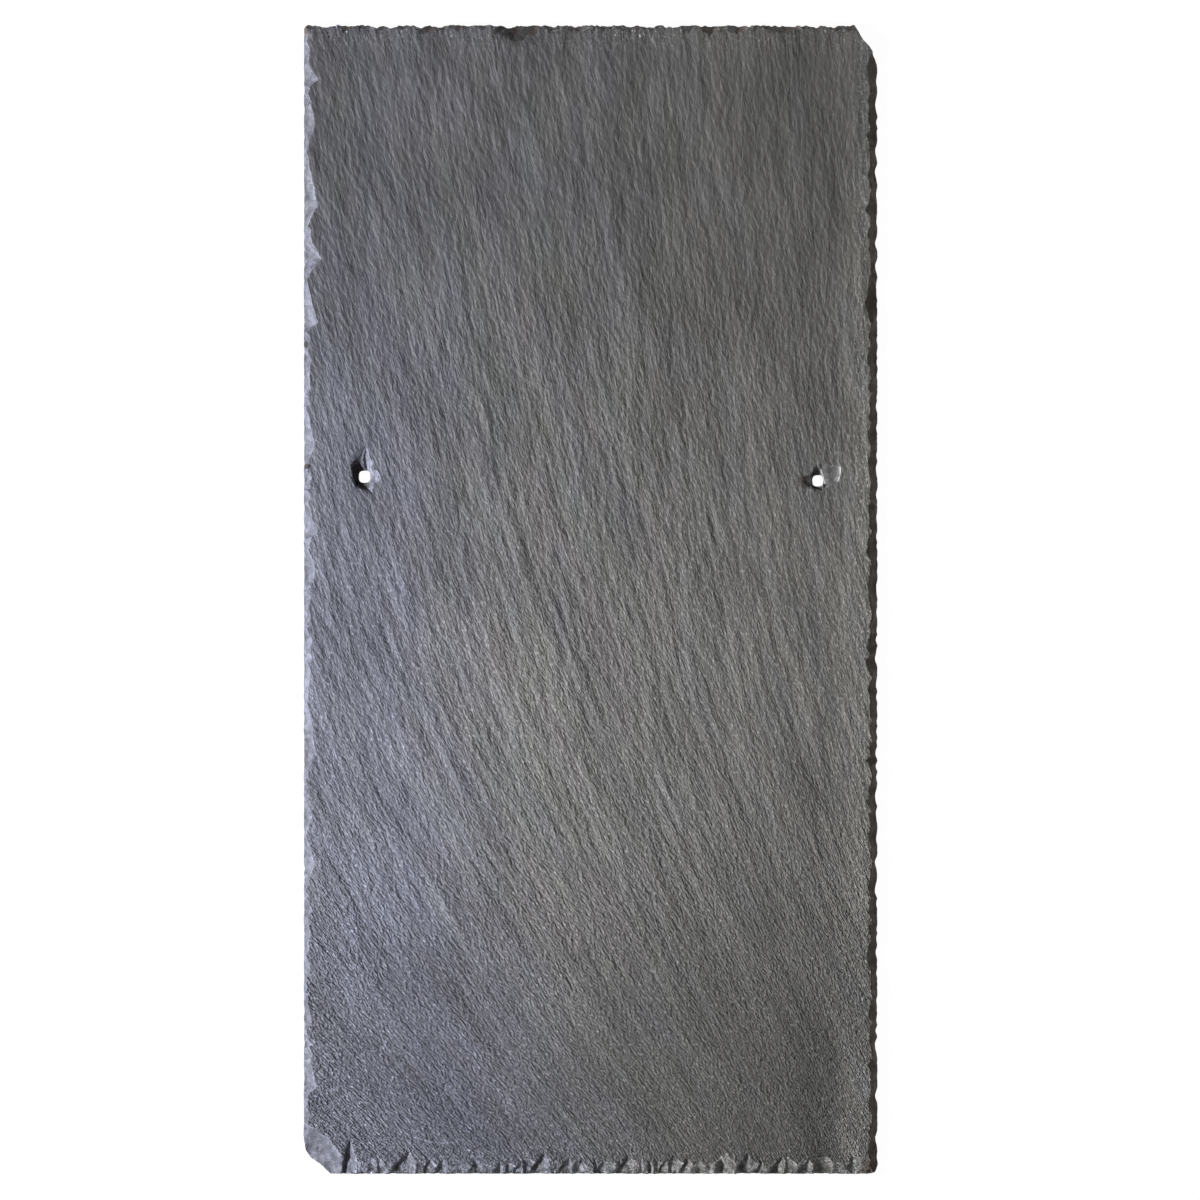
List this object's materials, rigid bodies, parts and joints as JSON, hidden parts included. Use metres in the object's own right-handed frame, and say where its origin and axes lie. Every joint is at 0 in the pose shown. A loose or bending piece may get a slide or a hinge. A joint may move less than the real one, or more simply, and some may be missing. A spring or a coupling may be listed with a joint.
{
  "type": "slate roof tile",
  "caption": "Natural slate roof tile, centre-nailed, with a riven grey weather face, hand-dressed broken edges and punched nail holes.",
  "frame": {"origin": "middle of the bed face, which is the underside", "axes": "+Y points to the head of the slate, +X to its right side seen from above, +Z out of the weather face"},
  "size_m": [0.25, 0.5, 0.006],
  "materials": {
    "slate": "riven, matt"
  },
  "bodies": {
    "root": {"slate": "slate"}
  },
  "joints": []
}
